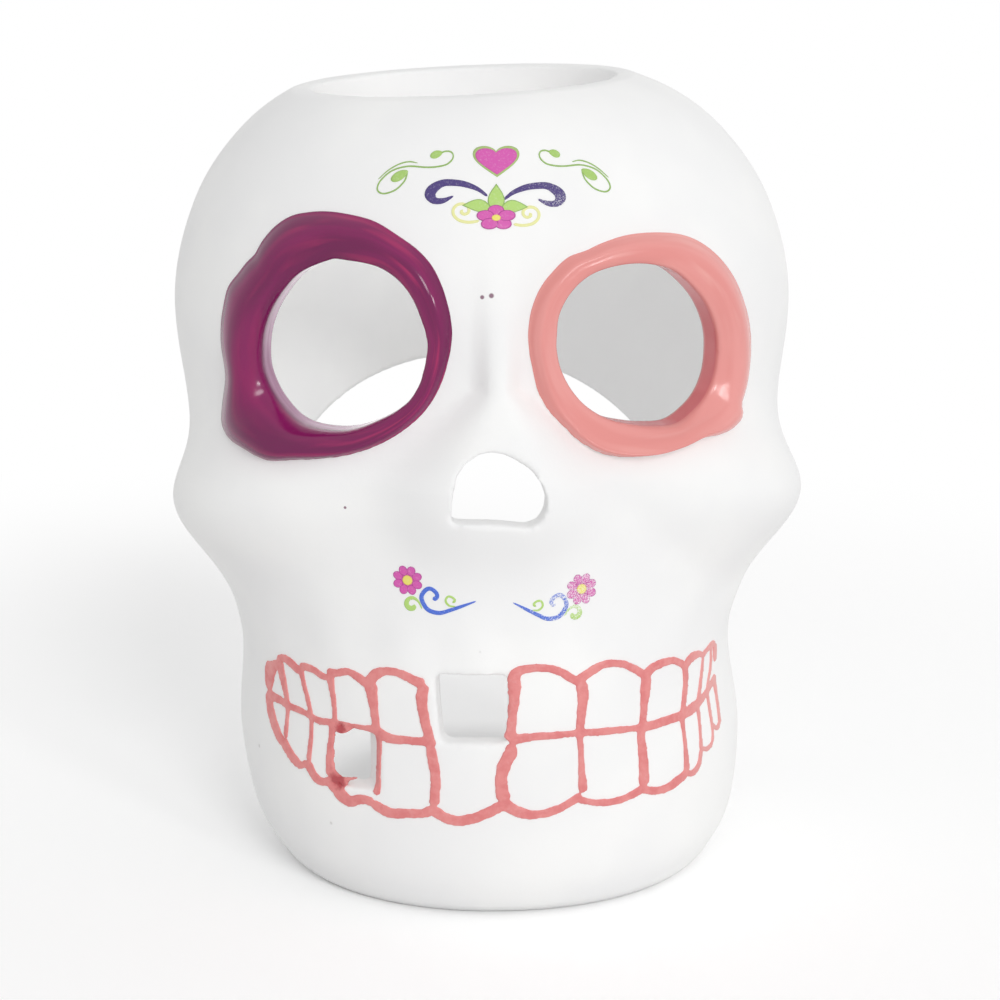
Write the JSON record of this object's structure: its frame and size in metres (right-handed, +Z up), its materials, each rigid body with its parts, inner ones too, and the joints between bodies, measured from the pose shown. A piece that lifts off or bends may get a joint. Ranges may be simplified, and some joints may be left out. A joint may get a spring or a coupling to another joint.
{
  "type": "skull tealight lantern",
  "caption": "Hollow white ceramic sugar-skull lantern with open eyes, nose, missing teeth and crown, a back arch for a tealight, painted sockets and tooth outlines and printed flower ornament.",
  "frame": {"origin": "on the table under the middle of the overall box", "axes": "+Z up from the foot to the crown, the face looks along -Y, +X is the viewer's right from the front"},
  "size_m": [0.128, 0.1284, 0.1608],
  "materials": {
    "bisque": "smooth matt white bisque",
    "plum_lacquer": "brushed glossy paint",
    "coral_lacquer": "brushed glossy paint",
    "tooth_paint": "brushed satin paint",
    "magenta_print": "printed transfer film",
    "olive_print": "printed transfer film",
    "green_print": "printed transfer film",
    "indigo_print": "printed transfer film",
    "yellow_print": "printed transfer film",
    "pale_yellow_print": "printed transfer film",
    "blue_print": "printed transfer film"
  },
  "bodies": {
    "root": {"skull_shell": "bisque", "left_socket_lacquer": "plum_lacquer", "right_socket_lacquer": "coral_lacquer", "tooth_outline_paint": "tooth_paint", "heart_transfer": "magenta_print", "heart_border_transfer": "olive_print", "flower_transfer": "magenta_print", "flower_centre_transfer": "yellow_print", "left_tendril_transfer": "green_print", "left_scroll_transfer": "indigo_print", "left_pale_curl_transfer": "pale_yellow_print", "right_tendril_transfer": "green_print", "right_scroll_transfer": "indigo_print", "right_pale_curl_transfer": "pale_yellow_print", "left_leaf_transfer": "green_print", "middle_leaf_transfer": "green_print", "right_leaf_transfer": "green_print", "left_lip_blossom_transfer": "magenta_print", "left_lip_blossom_centre_transfer": "yellow_print", "left_lip_scroll_transfer": "blue_print", "left_lip_curl_transfer": "green_print", "left_lip_comma_transfer": "green_print", "right_lip_blossom_transfer": "magenta_print", "right_lip_blossom_centre_transfer": "yellow_print", "right_lip_scroll_transfer": "blue_print", "right_lip_curl_transfer": "green_print", "right_lip_comma_transfer": "green_print"}
  },
  "joints": []
}
